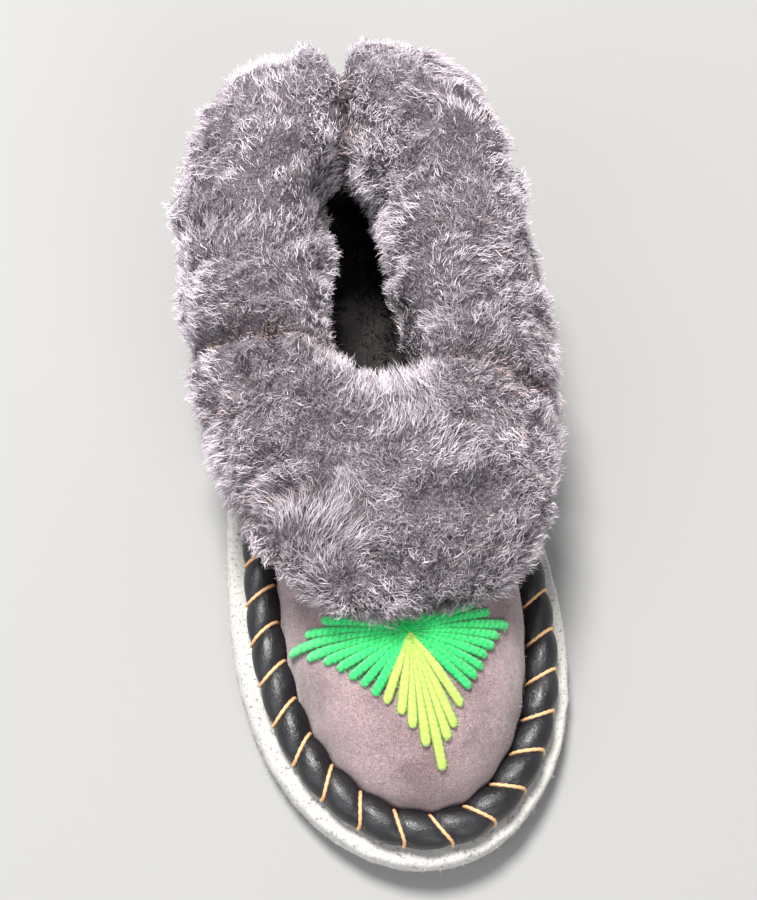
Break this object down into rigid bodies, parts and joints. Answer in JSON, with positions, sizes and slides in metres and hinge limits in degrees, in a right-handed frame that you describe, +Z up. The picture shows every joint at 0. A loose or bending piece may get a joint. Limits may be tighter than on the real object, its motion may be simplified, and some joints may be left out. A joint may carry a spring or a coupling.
{
  "type": "wool slipper",
  "caption": "Closed sheepskin house slipper with a deep wool cuff, suede upper, stitched leather roll and thick felt sole.",
  "frame": {"origin": "on the floor under the middle of the slipper's box", "axes": "+Z up, -Y to the toe, +Y to the heel, +X to the left of a wearer who looks along the toe"},
  "size_m": [0.1336, 0.279, 0.1034],
  "materials": {
    "felt": "matte felt",
    "black_leather": "satin",
    "suede": "napped",
    "fleece": "woolly",
    "wool": "woolly"
  },
  "bodies": {
    "root": {"felt_sole": "felt", "leather_roll": "black_leather", "upper": "suede", "insole": "fleece", "wool_cuff": "wool"}
  },
  "joints": []
}
